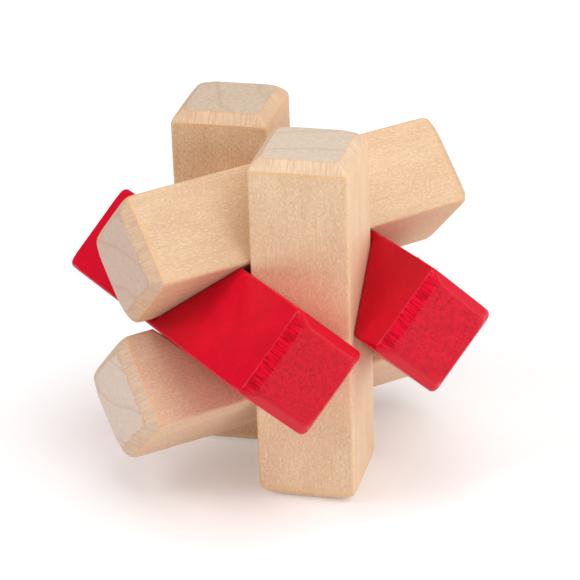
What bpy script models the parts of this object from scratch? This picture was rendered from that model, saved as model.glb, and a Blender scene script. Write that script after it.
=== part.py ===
"""Wooden diagonal burr puzzle: six square sticks in three crossing pairs, locked by one plain key bar.

Every stick lies along one axis of the puzzle and is turned 45 degrees about its own length, so
each pair meets corner to corner. Where two sticks would share the same wood, one of them has a
V-shaped notch and the other runs through it. The key bar has no notch: it slides along X between
its neighbours, and it holds the other five together.

The sticks fit loosely, so two of them sit a little off their ideal places. A notch is always cut
round the place where the stick that fills it really lies.

Run with: blender --background --python part.py
"""

import math

import bmesh
import bpy
from mathutils import Euler, Matrix, Vector

# Driving dimensions, in metres.
STICK_SIDE = 0.0240
STICK_LENGTH = 0.0900
PAIR_SPACING = 0.0363  # centre to centre of two parallel sticks
END_CHAMFER = 0.0026
EDGE_ROUND = 0.0008
NOTCH_CLEARANCE = 0.00035  # between a notch face and the stick that runs through it
KEY_SHIFT = 0.0032  # how far the key bar stands off centre along X
LOWER_DROP = 0.0005  # the lower crossbar has settled in its notches, with its +X end lowest
LOWER_TILT = math.radians(1.0)
RIGHT_RED_PLAY = (0.0006, 0.0003)  # how far the right red bar stands out, and up

# Worked out from them.
HALF_SPACING = PAIR_SPACING / 2
END_FACE_CORNER = (STICK_SIDE / 2 - END_CHAMFER) * math.sqrt(2)  # from the stick's own axis
LOWER_REACH = STICK_LENGTH / 2 * math.cos(LOWER_TILT) + END_FACE_CORNER * math.sin(LOWER_TILT)
KEY_REACH = STICK_LENGTH / 2 + KEY_SHIFT
PUZZLE_CENTRE = Vector(((LOWER_REACH - KEY_REACH) / 2, 0, STICK_LENGTH / 2))
CUTTER_SIDE = STICK_SIDE + 2 * NOTCH_CLEARANCE
CUTTER_LENGTH = 2 * STICK_LENGTH

EDGE_ROUND_SEGMENTS = 3
LONG_EDGE_ANGLE = math.radians(75)  # only the 90 degree edges along a stick are sharper than this

# Turns a stick that stands along Z so that it lies along the named axis, on a corner.
CORNER_TURN = math.radians(45)
ALONG = {
    "X": Euler((0, math.radians(90), CORNER_TURN), "ZYX"),
    "Y": Euler((math.radians(-90), 0, CORNER_TURN), "ZYX"),
    "Z": Euler((0, 0, CORNER_TURN), "ZYX"),
}

NATURAL = "natural_maple"
RED = "red_lacquer"
FINISHES = {
    NATURAL: {"colour": (0.78, 0.56, 0.36, 1), "roughness": 0.55},
    RED: {"colour": (0.72, 0.01, 0.03, 1), "roughness": 0.30},
}

# Each stick: the axis it lies along, its centre from the puzzle's centre, its finish, and the
# sticks that run through its notches.
STICKS = {
    "key_bar": ("X", (KEY_SHIFT, 0, HALF_SPACING), NATURAL, ()),
    "lower_crossbar": (
        "X",
        (0, 0, -HALF_SPACING - LOWER_DROP),
        NATURAL,
        ("left_red_bar", "right_red_bar"),
    ),
    "left_red_bar": ("Y", (-HALF_SPACING, 0, 0), RED, ("front_upright", "rear_upright", "key_bar")),
    "right_red_bar": (
        "Y",
        (HALF_SPACING + RIGHT_RED_PLAY[0], 0, RIGHT_RED_PLAY[1]),
        RED,
        ("front_upright", "rear_upright", "key_bar"),
    ),
    "front_upright": ("Z", (0, -HALF_SPACING, 0), NATURAL, ("key_bar", "lower_crossbar")),
    "rear_upright": ("Z", (0, HALF_SPACING, 0), NATURAL, ("key_bar", "lower_crossbar")),
}

# The only stick that isn't quite parallel to its axis.
TILT_ABOUT_Y = {"lower_crossbar": LOWER_TILT}


def clear_scene():
    for obj in list(bpy.data.objects):
        bpy.data.objects.remove(obj, do_unlink=True)


def new_collection(name):
    collection = bpy.data.collections.new(name)
    bpy.context.scene.collection.children.link(collection)
    return collection


def new_material(name):
    finish = FINISHES[name]
    material = bpy.data.materials.new(name)
    material.use_nodes = True
    material.diffuse_color = finish["colour"]
    shader = material.node_tree.nodes["Principled BSDF"]
    shader.inputs["Base Color"].default_value = finish["colour"]
    shader.inputs["Roughness"].default_value = finish["roughness"]
    shader.inputs["Metallic"].default_value = 0.0
    return material


def box_mesh(name, side, length):
    """A square prism standing along Z about its centre, with the edges round its two ends marked."""
    mesh = bpy.data.meshes.new(name)
    bm = bmesh.new()
    bmesh.ops.create_cube(bm, size=1, matrix=Matrix.Diagonal((side, side, length, 1)))
    weight = bm.edges.layers.float.new("bevel_weight_edge")
    for edge in bm.edges:
        low, high = (vertex.co.z for vertex in edge.verts)
        if low * high > 0:
            edge[weight] = 1.0
    bm.to_mesh(mesh)
    bm.free()
    return mesh


def place(obj, stick, parent):
    """Puts obj where the named stick lies."""
    axis, centre, _, _ = STICKS[stick]
    tilt = Matrix.Rotation(TILT_ABOUT_Y.get(stick, 0.0), 3, "Y")
    obj.parent = parent
    obj.rotation_mode = "XYZ"
    obj.rotation_euler = (tilt @ ALONG[axis].to_matrix()).to_euler("XYZ")
    obj.location = centre


def add_stick(name, mesh, material, collection, parent):
    """A square stick: chamfered round both ends, then softened along its four long edges."""
    obj = bpy.data.objects.new(name, mesh.copy())
    obj.data.name = name
    obj.data.materials.append(material)
    collection.objects.link(obj)
    place(obj, name, parent)

    chamfer = obj.modifiers.new("end_chamfer", "BEVEL")
    chamfer.limit_method = "WEIGHT"
    chamfer.width = END_CHAMFER
    chamfer.segments = 1

    rounding = obj.modifiers.new("long_edges", "BEVEL")
    rounding.limit_method = "ANGLE"
    rounding.angle_limit = LONG_EDGE_ANGLE
    rounding.width = EDGE_ROUND
    rounding.segments = EDGE_ROUND_SEGMENTS
    return obj


def add_cutter(stick, mesh, collection, parent):
    """The room that a stick needs where it runs through its neighbours' notches."""
    obj = bpy.data.objects.new("room_for_" + stick, mesh)
    obj.hide_render = True
    obj.display_type = "WIRE"
    collection.objects.link(obj)
    place(obj, stick, parent)
    return obj


def cut_notch(obj, cutter):
    notch = obj.modifiers.new("notch_" + cutter.name, "BOOLEAN")
    notch.operation = "DIFFERENCE"
    notch.solver = "EXACT"
    notch.object = cutter


def build():
    clear_scene()
    sticks = new_collection("burr_puzzle")
    cutters = new_collection("notch_cutters")
    materials = {name: new_material(name) for name in FINISHES}

    centre = bpy.data.objects.new("puzzle_centre", None)
    centre.location = PUZZLE_CENTRE
    sticks.objects.link(centre)

    stick_mesh = box_mesh("stick_blank", STICK_SIDE, STICK_LENGTH)
    cutter_mesh = box_mesh("notch_room", CUTTER_SIDE, CUTTER_LENGTH)
    room = {name: add_cutter(name, cutter_mesh, cutters, centre) for name in STICKS}
    for name, (_, _, finish, passing) in STICKS.items():
        obj = add_stick(name, stick_mesh, materials[finish], sticks, centre)
        for neighbour in passing:
            cut_notch(obj, room[neighbour])
    bpy.data.meshes.remove(stick_mesh)


build()
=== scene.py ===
"""The looks of the six-stick diagonal burr puzzle: bare pale hardwood and glossy red lacquer.

Each stick is a lofted mesh with soft arrises and hand-worked end chamfers. Its notches are cut by
the room that its neighbours need. Every stick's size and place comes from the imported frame.
"""

import math

import bmesh
import bpy
import numpy as np
from mathutils import Matrix, Vector


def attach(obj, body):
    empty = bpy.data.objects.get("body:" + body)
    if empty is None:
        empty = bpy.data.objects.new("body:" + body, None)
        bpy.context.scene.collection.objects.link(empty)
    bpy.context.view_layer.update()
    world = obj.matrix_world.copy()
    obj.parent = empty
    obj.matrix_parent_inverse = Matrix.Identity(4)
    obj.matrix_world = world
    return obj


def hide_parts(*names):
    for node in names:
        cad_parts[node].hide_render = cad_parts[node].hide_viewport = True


MM = 0.001
NOTCH_CLEARANCE = 0.35 * MM  # as in the CAD: between a notch face and the stick that fills it
LONG_ARRIS = 0.8 * MM  # radius along a stick's four long edges, as in the CAD
END_CHAMFER = 2.6 * MM  # as in the CAD
CORNER_SEGMENTS = 6
SIDE_SEGMENTS = 20
FILLET_SEGMENTS = 5
END_ZONE = 8 * MM  # the stretch at each end that has rows of its own
END_FACE_SHRINK = (0.84, 0.65, 0.45, 0.22)  # sizes of the rings of points on an end face
ROUNDED_SQUARE = 9.0  # exponent of the end face's outline: the higher, the sharper its corners
CORNER_SHARE = 0.3  # the part of a half side over which a chamfer's edges grow softer at a corner
CHAMFER_ROWS = np.linspace(0.32, 0.68, 3)  # places across a chamfer's flat that have rows of points
CHAMFER_UNEVENNESS = 0.05
LARGEST_CORNER = 0.9  # the part of a half side that the rounding of a corner may take
SHARP_ANGLE = math.radians(32)  # edges that bend by more than this stay crisp

# Radii of the edges of an end chamfer: the outer one, the inner one on the stick's two sides along
# X and its two along Y, both of them at a corner, and the corners of the end face. A corner has a
# share of its wear, from "least" up to all of it. Lacquer fills the edges out, so red's are softer.
RED_WEAR = {"outer": 0.7 * MM, "inner_x": 1.9 * MM, "inner_y": 0.9 * MM, "corner": 2.4 * MM,
            "face_corner": 2.6 * MM, "least": 0.8}
BARE_WEAR = {"outer": 0.35 * MM, "inner_x": 0.4 * MM, "inner_y": 0.4 * MM, "corner": 4.0 * MM,
             "face_corner": 2.2 * MM, "least": 0.25}

# For each stick: the sticks that run through its notches, the shift of its grain pattern, and its
# two colours, on the long faces and on the end grain.
STICKS = {
    "key_bar": ((), (3.0, 41.0, 7.0), (219, 185, 150), (214, 185, 168)),
    "lower_crossbar": (("left_red_bar", "right_red_bar"), (61.0, 5.0, 29.0),
                       (221, 187, 156), (225, 204, 188)),
    "left_red_bar": (("front_upright", "rear_upright", "key_bar"), (17.0, 71.0, 53.0),
                     (219, 2, 38), (207, 5, 35)),
    # The right red bar's long-face colour is darker than the left's: painted shade, standing in for
    # the shade that falls on those faces beside the front upright.
    "right_red_bar": (("front_upright", "rear_upright", "key_bar"), (83.0, 23.0, 11.0),
                      (200, 2, 33), (212, 7, 39)),
    "front_upright": (("key_bar", "lower_crossbar"), (29.0, 13.0, 97.0),
                      (235, 202, 166), (215, 197, 177)),
    "rear_upright": (("key_bar", "lower_crossbar"), (7.0, 59.0, 37.0),
                     (227, 190, 153), (206, 185, 163)),
}
# Where the tree's centre lay, across each bare stick, in millimetres. The other sticks are lacquered.
PITH = {
    "key_bar": (-26.0, -22.0), "lower_crossbar": (28.0, 24.0),
    "front_upright": (-40.0, -8.0), "rear_upright": (15.0, -32.0),
}
RING_SPACING = 10.5  # millimetres between two dark growth rings
# How strongly the grain of each bare stick shows
FIGURE = {"key_bar": 0.9, "lower_crossbar": 0.95, "front_upright": 1.0, "rear_upright": 1.5}
# Seeds of the chance wear on each stick's ends
WEAR_SEEDS = {
    "key_bar": 47, "lower_crossbar": 93, "left_red_bar": 2, "right_red_bar": 3,
    "front_upright": 53, "rear_upright": 39,
}

BUMP_HEIGHT = 0.05 * MM
BUMP_STRENGTH = 0.5
BARE_RIB_SCALE = 3.3
RED_RIB_SCALE = 3.4
SIDE_OFFSET = 9.0  # takes the four sides of a stick to unlike places in the ribs' pattern
BARE_ROUGHNESS = (0.62, 0.52)  # at the darkest flecks, and at the lightest
BARE_SPECULAR = 0.3
RED_ROUGHNESS = (0.3, 0.42)  # on the long faces, and on the end grain
RED_SPECULAR = 0.17

FLOOR_HALF_SIZE = 6  # metres
FLOOR_GREY = (0.82, 0.82, 0.82, 1)
FLOOR_GLOW = 0.25
WORLD_STRENGTH = 0.18
# Each softbox: its direction from the puzzle's middle, its distance and side in metres, and its watts
SOFTBOXES = {
    "overhead_softbox": ((0.15, -0.25, 1.0), 1.3, 1.4, 15.3),
    "front_softbox": ((0.2, -1.0, 0.15), 1.4, 0.8, 4.8),
    "left_softbox": ((-0.69, 0.09, 0.71), 1.3, 0.6, 5.7),
    "right_softbox": ((1.0, -0.5, 0.3), 1.3, 0.8, 3.4),
}


# ---------------------------------------------------------------------------------------------
# The frame's measures
# ---------------------------------------------------------------------------------------------


def placement(node):
    """The matrix that puts a stick standing along Z, faces along X and Y, where the CAD node lies."""
    points = np.array([v.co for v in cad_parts[node].data.vertices])
    axis = int(np.ptp(points, axis=0).argmax())
    reach = points[:, axis]
    ends = (reach.min(), reach.max())
    low_end, high_end = (points[np.abs(reach - end) < MM].mean(axis=0) for end in ends)
    along = Vector(high_end - low_end).normalized()
    first = Vector((0, 0, 0))
    first[(axis + 1) % 3] = 1.0
    second = along.cross(first).normalized()
    across = (second.cross(along) + second).normalized()
    matrix = Matrix((across, along.cross(across), along)).transposed().to_4x4()
    matrix.translation = Vector(low_end + high_end) / 2
    return matrix


def half_size(node, matrix):
    """Half the side and half the length of a CAD stick, measured in its own frame."""
    to_stick = matrix.inverted()
    points = np.array([to_stick @ v.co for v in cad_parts[node].data.vertices])
    return float(np.abs(points[:, :2]).max()), float(np.abs(points[:, 2]).max())


# ---------------------------------------------------------------------------------------------
# The sticks' meshes
# ---------------------------------------------------------------------------------------------


def fillet(before, corner, after, radius, segments):
    """Points of an arc of that radius that rounds off the corner of a path in the plane."""
    before, corner, after = (np.array(p, float) for p in (before, corner, after))
    to_before = (before - corner) / np.linalg.norm(before - corner)
    to_after = (after - corner) / np.linalg.norm(after - corner)
    half_angle = math.acos(float(to_before @ to_after)) / 2
    reach = radius / math.tan(half_angle)
    middle = (to_before + to_after) / np.linalg.norm(to_before + to_after)
    centre = corner + middle * radius / math.sin(half_angle)
    start = corner + to_before * reach - centre
    end = corner + to_after * reach - centre
    turn = math.acos(float(start @ end) / radius**2)
    steps = np.linspace(0, 1, segments + 1)[:, None]
    arc = np.sin((1 - steps) * turn) * start + np.sin(steps * turn) * end
    return centre + arc / math.sin(turn)


def end_profile(half_side, outer_radius, inner_radius):
    """(distance from the end, inset from the side) from the body to the middle of the end face."""
    body = (END_ZONE, 0.0)
    edge = (END_CHAMFER, 0.0)
    inner = (0.0, END_CHAMFER)
    middle = (0.0, half_side)
    chamfer_rows = CHAMFER_ROWS[:, None] * (np.array(inner) - edge) + edge
    outer_rows = fillet(body, edge, inner, outer_radius, FILLET_SEGMENTS)
    inner_rows = fillet(edge, inner, middle, inner_radius, FILLET_SEGMENTS)
    face_rows = [(0.0, half_side - (half_side - END_CHAMFER) * s) for s in END_FACE_SHRINK]
    return np.vstack([[body], outer_rows, chamfer_rows, inner_rows, face_rows])


def ring_directions():
    """For each point round a stick: its side's two unit coordinates, its place on its corner arc,
    how near it is to a corner, from 0 to 1, and which corner that is."""
    flat, bow, near, nearest = [], [], [], []
    for corner in range(4):
        turn = corner * math.pi / 2
        c, s = round(math.cos(turn)), round(math.sin(turn))
        for step in range(CORNER_SEGMENTS + 1):
            angle = step / CORNER_SEGMENTS * math.pi / 2
            flat.append((c - s, s + c))
            bow.append((c * math.cos(angle) - s * math.sin(angle) - (c - s),
                        s * math.cos(angle) + c * math.sin(angle) - (s + c)))
            near.append(1.0)
            nearest.append(corner)
        for step in range(1, SIDE_SEGMENTS):
            t = math.cos(step / SIDE_SEGMENTS * math.pi)
            flat.append((c * t - s, s * t + c))
            bow.append((-c * t, -s * t))
            near.append(max(0.0, 1 - (1 - abs(t)) / CORNER_SHARE) ** 2)
            nearest.append(corner if t > 0 else (corner + 1) % 4)
    return np.array(flat, float), np.array(bow, float), np.array(near), np.array(nearest)


def stick_mesh(name, half_side, half_length, red, rng):
    """A closed square stick: rings of points along its length, and a rosette over each end face."""
    wear = RED_WEAR if red else BARE_WEAR
    x_rows = end_profile(half_side, wear["outer"], wear["inner_x"])
    y_rows = end_profile(half_side, wear["outer"], wear["inner_y"])
    corner_rows = end_profile(half_side, wear["corner"], wear["corner"])
    flat, bow, near, nearest = ring_directions()
    on_x_side = (np.abs(flat[:, 0]) > np.abs(flat[:, 1])) * 1.0
    count = len(flat)
    around = np.arctan2(flat[:, 1], flat[:, 0])

    def uneven(amount):
        """A smooth factor round the stick, so that no two chamfers are quite alike."""
        wave = sum(
            rng.uniform(-1, 1) / k * np.cos(k * around + rng.uniform(0, 2 * math.pi))
            for k in (1, 2, 3, 5)
        )
        return 1 + amount * wave

    rows = []
    for sign in (-1, 1):
        width = uneven(CHAMFER_UNEVENNESS)
        worn = rng.uniform(wear["least"], 1, 4)[nearest]
        end_rows = []
        for x_row, y_row, corner_row in zip(x_rows, y_rows, corner_rows):
            side_row = y_row[:, None] + (x_row - y_row)[:, None] * on_x_side
            back, inset = side_row + (corner_row[:, None] - side_row) * near * worn
            worked = 1 - back / END_ZONE  # 0 on the body, 1 at the end face
            depth = back * (1 + (width - 1) * worked)
            on_chamfer = half_side - inset * width
            face_edge = half_side - END_CHAMFER * width
            on_face = face_edge * (half_side - inset) / (half_side - END_CHAMFER)
            half = np.where(inset <= END_CHAMFER, on_chamfer, on_face)
            radius = LONG_ARRIS + (wear["face_corner"] * worn - LONG_ARRIS) * worked**2
            xy = flat * half[:, None] + bow * np.minimum(radius, half * LARGEST_CORNER)[:, None]
            end_rows.append(np.column_stack([xy, sign * (half_length - depth)]))
        rows += end_rows[::-1] if sign < 0 else end_rows
    points = np.vstack(rows)
    faces = []
    for row in range(len(rows) - 1):
        here = row * count
        beyond = here + count
        for point in range(count):
            after = (point + 1) % count
            faces.append((here + point, here + after, beyond + after, beyond + point))
    faces.append(tuple(reversed(range(count))))
    faces.append(tuple(range(len(points) - count, len(points))))
    mesh = bpy.data.meshes.new(name)
    mesh.from_pydata(points.tolist(), [], faces)
    return mesh


def notch_room(matrices, half_side, half_length, passing):
    """For each passing stick, an object that fills the room it needs, twice as long as the stick."""
    rooms = []
    side = 2 * (half_side + NOTCH_CLEARANCE)
    size = Matrix.Diagonal((side, side, 4 * half_length, 1))
    for neighbour in passing:
        bm = bmesh.new()
        bmesh.ops.create_cube(bm, size=1, matrix=matrices[neighbour] @ size)
        mesh = bpy.data.meshes.new("room_for_" + neighbour)
        bm.to_mesh(mesh)
        bm.free()
        room = bpy.data.objects.new(mesh.name, mesh)
        bpy.context.scene.collection.objects.link(room)
        rooms.append(room)
    return rooms


def make_stick(node, matrices, sizes, material, rng):
    passing = STICKS[node][0]
    red = node not in PITH
    half_side, half_length = sizes[node]
    blank = stick_mesh(node + "_wood", half_side, half_length, red, rng)
    stick = bpy.data.objects.new(node + "_wood", blank)
    bpy.context.scene.collection.objects.link(stick)
    stick.matrix_world = matrices[node]
    stick.data.materials.append(material)
    rooms = notch_room(matrices, half_side, half_length, passing)
    for room in rooms:
        cut = stick.modifiers.new(room.name, "BOOLEAN")
        cut.operation = "DIFFERENCE"
        cut.solver = "EXACT"
        cut.object = room
    graph = bpy.context.evaluated_depsgraph_get()
    cut_mesh = bpy.data.meshes.new_from_object(stick.evaluated_get(graph))
    stick.modifiers.clear()
    stick.data = cut_mesh
    for room in rooms:
        bpy.data.objects.remove(room, do_unlink=True)
    cut_mesh.shade_smooth()
    cut_mesh.set_sharp_from_angle(angle=SHARP_ANGLE)
    even = stick.modifiers.new("even_normals", "WEIGHTED_NORMAL")
    even.keep_sharp = True
    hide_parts(node)
    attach(stick, node)


# ---------------------------------------------------------------------------------------------
# Materials
# ---------------------------------------------------------------------------------------------


def linear(value):
    """The linear value of a display value, both from 0 to 1."""
    return ((value + 0.055) / 1.055) ** 2.4 if value > 0.04045 else value / 12.92


def srgb(r, g, b):
    """A colour given as 0 to 255 display values, as linear RGBA."""
    return tuple(linear(value / 255) for value in (r, g, b)) + (1,)


class Shading:
    """A material's node graph, built up by one call for each node."""

    def __init__(self, name):
        self.material = bpy.data.materials.new(name)
        self.material.use_nodes = True
        self.nodes = self.material.node_tree.nodes
        self.links = self.material.node_tree.links
        self.shader = self.nodes["Principled BSDF"]

    def put(self, socket, value):
        if isinstance(value, bpy.types.NodeSocket):
            self.links.new(value, socket)
        else:
            socket.default_value = value

    def node(self, kind, inputs, output=0, **settings):
        made = self.nodes.new(kind)
        for key, value in settings.items():
            setattr(made, key, value)
        for key, value in inputs.items():
            self.put(made.inputs[key], value)
        return made.outputs[output]

    def math(self, operation, a, b=0.0):
        return self.node("ShaderNodeMath", {0: a, 1: b}, operation=operation)

    def plus(self, a, b):
        return self.math("ADD", a, b)

    def minus(self, a, b):
        return self.math("SUBTRACT", a, b)

    def times(self, a, b):
        return self.math("MULTIPLY", a, b)

    def vector(self, operation, a, b):
        return self.node("ShaderNodeVectorMath", {0: a, 1: b}, operation=operation)

    def drawn_out(self, place, share):
        """The place with that share of its length along the stick, which draws a pattern out."""
        return self.vector("MULTIPLY", place, (1, 1, share))

    def split(self, vector):
        made = self.nodes.new("ShaderNodeSeparateXYZ")
        self.put(made.inputs[0], vector)
        return made.outputs

    def join(self, x, y, z):
        return self.node("ShaderNodeCombineXYZ", {0: x, 1: y, 2: z})

    def noise(self, vector, scale, detail=2.0, roughness=0.5):
        inputs = {"Vector": vector, "Scale": scale, "Detail": detail, "Roughness": roughness}
        return self.node("ShaderNodeTexNoise", inputs)

    def step(self, value, low, high, to_low=0.0, to_high=1.0):
        """A smooth step from to_low, at low, to to_high, at high."""
        inputs = {"Value": value, 1: low, 2: high, 3: to_low, 4: to_high}
        return self.node("ShaderNodeMapRange", inputs, interpolation_type="SMOOTHSTEP")

    def mix(self, factor, a, b):
        """The colour a where factor is 0 and b where it is 1."""
        made = self.nodes.new("ShaderNodeMix")
        made.data_type = "RGBA"
        self.put(made.inputs[0], factor)
        self.put(made.inputs[6], a)
        self.put(made.inputs[7], b)
        return made.outputs[2]

    def blend(self, factor, a, b):
        """The number a where factor is 0 and b where it is 1."""
        return self.node("ShaderNodeMix", {0: factor, 2: a, 3: b})

    def bump(self, height):
        inputs = {"Height": height, "Distance": BUMP_HEIGHT, "Strength": BUMP_STRENGTH}
        return self.node("ShaderNodeBump", inputs)


def stick_coordinates(g, half_side, half_length, shift, rib_scale):
    """What both finishes need: places on the stick in millimetres, and masks of its kinds of face."""
    coordinate = g.nodes.new("ShaderNodeTexCoord")
    place = g.vector("MULTIPLY", coordinate.outputs["Object"], (1 / MM, 1 / MM, 1 / MM))
    x, y, z = g.split(place)
    away_x, away_y, away_z = (g.math("ABSOLUTE", v) for v in (x, y, z))
    side = g.math("MAXIMUM", away_x, away_y)
    inner = g.math("MINIMUM", away_x, away_y)
    chamfer = END_CHAMFER / MM
    inset = g.math("DIVIDE", g.minus(side, half_side / MM - chamfer), chamfer)
    depth = g.math("DIVIDE", g.minus(half_length / MM, away_z), chamfer)
    facing = g.math("ABSOLUTE", g.split(coordinate.outputs["Normal"])[2])
    moved = g.vector("ADD", place, shift)
    # Fine ridges that cross the chamfers, one set for each side of the stick
    on_x_side = g.math("GREATER_THAN", away_x, away_y)
    which_side = g.times(g.math("SIGN", g.blend(on_x_side, y, x)), SIDE_OFFSET)
    ridge_place = g.join(g.blend(on_x_side, x, y), which_side, g.times(z, 0.12))
    ribs = g.noise(ridge_place, rib_scale, 3.0, 0.6)
    ragged = g.noise(ridge_place, 0.7, 4.0, 0.6)
    fray = g.plus(g.minus(ragged, 0.5), g.times(g.minus(ribs, 0.5), 0.3))
    across = g.plus(inset, depth)  # 0 at the border of the end face, 2 at the long face
    # The end face is a square with rounded corners: over is 0 on its outline, and less inside it
    power_x = g.math("POWER", away_x, ROUNDED_SQUARE)
    power_y = g.math("POWER", away_y, ROUNDED_SQUARE)
    rounded_side = g.math("POWER", g.plus(power_x, power_y), 1 / ROUNDED_SQUARE)
    over = g.math("DIVIDE", g.minus(rounded_side, half_side / MM - chamfer), chamfer)
    over = g.plus(g.plus(over, depth), fray)
    end = g.times(g.step(over, 0.3, 0.0), g.step(facing, 0.4, 0.6))
    by_end = g.step(depth, 1.6, 1.2)
    sawn = g.step(facing, 0.25, 0.6)
    return {
        "moved": moved, "x": x, "y": y, "across": across, "over": over, "ribs": ribs, "fray": fray,
        "sawn": sawn, "end": end, "by_end": by_end, "on_x_side": on_x_side,
        "normal": coordinate.outputs["Normal"],
        "long_side": g.step(facing, 0.6, 0.3),
        "chamfer": g.times(g.times(sawn, by_end), g.minus(1.0, end)),
        "arris": g.step(inner, half_side / MM - 0.75, half_side / MM - 0.3),
    }


def scaled(colour, factor):
    return tuple(value * factor for value in colour[:3]) + (1,)


def toned(colour, factor):
    """A paler or darker tone of bare wood, which differs least in red and most in blue."""
    return (colour[0] * factor**0.55, colour[1] * factor, colour[2] * factor**1.2, 1)


def natural_wood(name, half_side, half_length, shift, pith, strength, long_colour, end_colour):
    g = Shading(name)
    c = stick_coordinates(g, half_side, half_length, shift, BARE_RIB_SCALE)
    base, end_base = srgb(*long_colour), srgb(*end_colour)
    # Growth rings round the tree's centre
    bend = g.times(g.noise(g.drawn_out(c["moved"], 0.12), 0.07, 1.0), 7.0)
    outward = g.join(g.minus(c["x"], pith[0]), g.minus(c["y"], pith[1]), 0.0)
    from_pith = g.node("ShaderNodeVectorMath", {0: outward}, output="Value", operation="LENGTH")
    ring = g.math("FRACT", g.math("DIVIDE", g.plus(from_pith, bend), RING_SPACING))
    # A face cut straight through the rings shows little figure
    out_direction = g.node("ShaderNodeVectorMath", {0: outward}, operation="NORMALIZE")
    across_rings = g.node("ShaderNodeVectorMath", {0: out_direction, 1: c["normal"]}, output="Value",
                          operation="DOT_PRODUCT")
    figure = g.step(g.math("ABSOLUTE", across_rings), 0.05, 0.3, 0.4 * strength, strength)
    late_wood = g.times(g.step(ring, 0.82, 0.95), g.step(ring, 1.0, 0.96))
    # What the long faces show: soft patches, streaks, and short flecks along the grain
    patch = g.noise(g.drawn_out(c["moved"], 0.3), 0.16, 2.0, 0.55)
    streak = g.noise(g.drawn_out(c["moved"], 0.06), 1.3, 3.0, 0.6)
    fleck = g.noise(g.drawn_out(c["moved"], 0.3), 4.2, 2.0, 0.65)
    pore = g.noise(g.drawn_out(c["moved"], 0.22), 5.6, 0.0, 0.5)

    long_face = g.mix(g.step(patch, 0.3, 0.7), toned(base, 0.93), toned(base, 1.05))
    light_fleck = g.times(g.step(fleck, 0.5, 0.68), figure)
    dark_fleck = g.times(g.step(pore, 0.46, 0.28), figure)
    dark_streak = g.times(g.step(streak, 0.55, 0.3), 0.5 * strength)
    long_face = g.mix(dark_streak, long_face, toned(base, 0.82))
    long_face = g.mix(g.times(light_fleck, 0.85), long_face, toned(base, 1.25))
    long_face = g.mix(g.times(dark_fleck, 0.6), long_face, toned(base, 0.67))
    long_face = g.mix(g.times(late_wood, 0.15), long_face, toned(base, 0.8))

    cloud = g.noise(c["moved"], 1.3, 4.0, 0.65)
    speck = g.noise(c["moved"], 3.2, 1.0, 0.5)
    end_face = g.mix(g.step(cloud, 0.3, 0.7), toned(end_base, 1 - 0.09 * strength),
                     toned(end_base, 1 + 0.07 * strength))
    end_face = g.mix(g.times(late_wood, 0.4), end_face, toned(end_base, 0.7))
    end_face = g.mix(g.times(g.step(speck, 0.44, 0.28), 0.35), end_face, toned(end_base, 0.7))

    chamfer_face = g.mix(g.step(c["ribs"], 0.36, 0.64), toned(base, 0.75), toned(base, 1.07))
    chamfer_face = g.mix(0.25, chamfer_face, end_face)
    notch_face = g.mix(g.step(speck, 0.35, 0.65), toned(base, 0.9), toned(base, 1.04))
    cut = g.mix(c["by_end"], notch_face, chamfer_face)

    colour = g.mix(c["sawn"], long_face, cut)
    colour = g.mix(c["end"], colour, end_face)
    # The crushed rim of the end grain, and burnished edges
    crushed = g.times(g.step(c["over"], -0.08, 0.12), g.step(c["over"], 0.42, 0.18))
    crushed = g.times(crushed, g.step(cloud, 0.4, 0.6, 0.1, 0.6))
    colour = g.mix(g.times(crushed, c["by_end"]), colour, toned(base, 0.62))
    border = g.plus(c["across"], g.times(c["fray"], 0.7))
    rim = g.times(g.step(border, 1.85, 2.0), g.step(border, 2.6, 2.1))
    rim = g.times(rim, g.step(cloud, 0.35, 0.6, 0.35, 1.0))
    arris = g.times(g.times(c["arris"], c["long_side"]), 0.5)
    burnished = tuple(value * factor for value, factor in zip(base, (1.08, 0.9, 0.6))) + (1,)
    colour = g.mix(g.times(g.math("MAXIMUM", arris, rim), 0.55), colour, burnished)
    g.put(g.shader.inputs["Base Color"], colour)

    grain = g.plus(g.times(streak, 0.5), g.times(pore, 0.5))
    grain = g.blend(c["sawn"], grain, speck)
    grain = g.blend(c["chamfer"], grain, c["ribs"])
    g.put(g.shader.inputs["Normal"], g.bump(grain))
    g.put(g.shader.inputs["Roughness"], g.step(fleck, 0.3, 0.7, *BARE_ROUGHNESS))
    g.shader.inputs["Specular IOR Level"].default_value = BARE_SPECULAR
    return g.material


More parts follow.
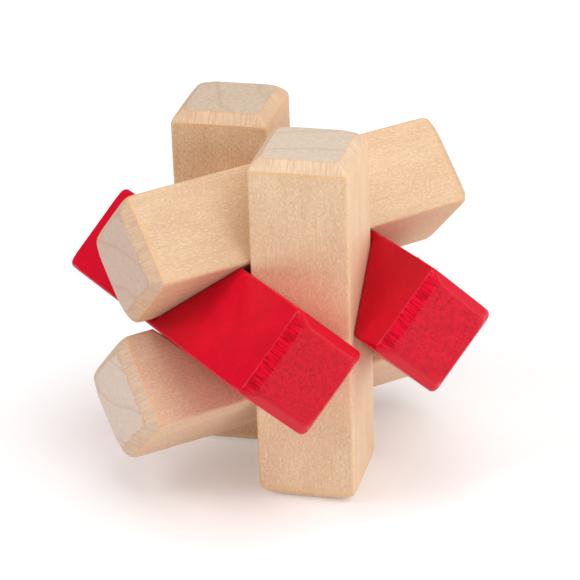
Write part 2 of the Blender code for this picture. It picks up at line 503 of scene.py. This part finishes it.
def red_lacquer(name, half_side, half_length, shift, long_colour, end_colour):
    g = Shading(name)
    c = stick_coordinates(g, half_side, half_length, shift, RED_RIB_SCALE)
    base, end_base = srgb(*long_colour), srgb(*end_colour)
    cloud = g.noise(c["moved"], 0.2, 3.0, 0.55)
    orange_peel = g.noise(c["moved"], 1.1, 2.0, 0.55)
    through = g.noise(g.drawn_out(c["moved"], 0.05), 1.4, 2.0, 0.6)
    blotch = g.noise(c["moved"], 0.9, 4.0, 0.65)
    speck = g.noise(c["moved"], 3.4, 1.0, 0.5)
    # Pits gather in some places on the end grain
    pit_place = g.plus(g.noise(c["moved"], 2.1, 1.0, 0.5), g.times(blotch, 0.35))
    pit = g.step(pit_place, 0.58, 0.48)

    colour = g.mix(g.step(cloud, 0.3, 0.7), scaled(base, 0.94), scaled(base, 1.06))
    colour = g.mix(g.step(speck, 0.52, 0.34), colour, scaled(base, 0.86))
    end_face = g.mix(g.step(blotch, 0.35, 0.65), scaled(end_base, 0.88), scaled(end_base, 1.1))
    end_face = g.mix(g.times(pit, 0.8), end_face, scaled(end_base, 0.5))
    colour = g.mix(c["end"], colour, end_face)
    colour = g.mix(c["chamfer"], colour, end_base)
    # Two of the four chamfers at an end are ridged
    ridged = g.times(c["chamfer"], g.minus(1.0, c["on_x_side"]))
    ridges = g.mix(g.step(c["ribs"], 0.4, 0.58), scaled(end_base, 0.64), scaled(end_base, 1.24))
    colour = g.mix(ridged, colour, ridges)
    g.put(g.shader.inputs["Base Color"], colour)

    height = g.plus(g.times(orange_peel, 0.5), g.times(through, 0.25))
    height = g.plus(height, g.times(ridged, g.times(c["ribs"], 2.6)))
    height = g.minus(height, g.times(c["end"], g.times(pit, 0.8)))
    g.put(g.shader.inputs["Normal"], g.bump(height))
    g.put(g.shader.inputs["Roughness"], g.blend(c["end"], *RED_ROUGHNESS))
    g.shader.inputs["Specular IOR Level"].default_value = RED_SPECULAR
    return g.material


# ---------------------------------------------------------------------------------------------
# The stage
# ---------------------------------------------------------------------------------------------


def add_floor():
    bm = bmesh.new()
    bmesh.ops.create_grid(bm, x_segments=1, y_segments=1, size=FLOOR_HALF_SIZE)
    mesh = bpy.data.meshes.new("studio_floor")
    bm.to_mesh(mesh)
    bm.free()
    floor = bpy.data.objects.new("studio_floor", mesh)
    bpy.context.scene.collection.objects.link(floor)
    g = Shading("light_table")
    g.shader.inputs["Base Color"].default_value = FLOOR_GREY
    g.shader.inputs["Emission Color"].default_value = (1, 1, 1, 1)
    g.shader.inputs["Emission Strength"].default_value = FLOOR_GLOW
    g.shader.inputs["Roughness"].default_value = 0.9
    g.shader.inputs["Specular IOR Level"].default_value = 0.1
    mesh.materials.append(g.material)


def add_softbox(name, direction, distance, side, power, target):
    """A square area light that far from the target, in that direction, facing it."""
    light = bpy.data.lights.new(name, "AREA")
    light.shape = "SQUARE"
    light.size = side
    light.energy = power
    lamp = bpy.data.objects.new(name, light)
    bpy.context.scene.collection.objects.link(lamp)
    toward = Vector(direction).normalized()
    lamp.location = target + toward * distance
    lamp.rotation_euler = toward.to_track_quat("Z", "Y").to_euler()


def add_world():
    world = bpy.data.worlds.new("studio")
    bpy.context.scene.world = world
    world.use_nodes = True
    background = world.node_tree.nodes["Background"]
    background.inputs["Color"].default_value = (1, 1, 1, 1)
    background.inputs["Strength"].default_value = WORLD_STRENGTH


def add_camera(centre):
    """Looks down at the puzzle from its front left."""
    azimuth = math.radians(-30.19)
    elevation = math.radians(25.75)
    roll = math.radians(-2.10)
    distance = 0.6854
    aim = (0.302, 0.047)  # degrees that the line of sight passes the centre by, right and down
    level = math.cos(elevation)
    back = Vector((math.sin(azimuth) * level, -math.cos(azimuth) * level, math.sin(elevation)))
    camera = bpy.data.objects.new("camera", bpy.data.cameras.new("camera"))
    bpy.context.scene.collection.objects.link(camera)
    turn = back.to_track_quat("Z", "Y").to_matrix() @ Matrix.Rotation(roll, 3, "Z")
    turn = turn @ Matrix.Rotation(math.radians(-aim[0]), 3, "Y")
    turn = turn @ Matrix.Rotation(math.radians(-aim[1]), 3, "X")
    camera.matrix_world = Matrix.Translation(centre + back * distance) @ turn.to_4x4()
    camera.data.lens = 172.5
    camera.data.sensor_width = 36
    camera.data.clip_start = 0.01
    bpy.context.scene.camera = camera


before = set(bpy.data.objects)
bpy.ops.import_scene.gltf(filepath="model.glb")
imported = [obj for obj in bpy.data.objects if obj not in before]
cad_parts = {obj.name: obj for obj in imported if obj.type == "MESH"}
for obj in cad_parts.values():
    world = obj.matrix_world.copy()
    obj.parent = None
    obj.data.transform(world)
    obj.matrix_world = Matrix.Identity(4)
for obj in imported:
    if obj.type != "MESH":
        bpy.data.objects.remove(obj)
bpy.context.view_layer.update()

matrices = {node: placement(node) for node in STICKS}
sizes = {node: half_size(node, matrices[node]) for node in STICKS}
for node, (_, shift, long_colour, end_colour) in STICKS.items():
    if node in PITH:
        material = natural_wood(node + "_grain", *sizes[node], shift, PITH[node], FIGURE[node],
                                long_colour, end_colour)
    else:
        material = red_lacquer(node + "_lacquer", *sizes[node], shift, long_colour, end_colour)
    make_stick(node, matrices, sizes, material, np.random.default_rng(WEAR_SEEDS[node]))

middle = sum((matrices[n].translation for n in ("left_red_bar", "right_red_bar")), Vector()) / 2
add_floor()
add_world()
for name, (direction, distance, side, power) in SOFTBOXES.items():
    add_softbox(name, direction, distance, side, power, middle)
add_camera(middle)
bpy.context.scene.view_settings.view_transform = "Standard"
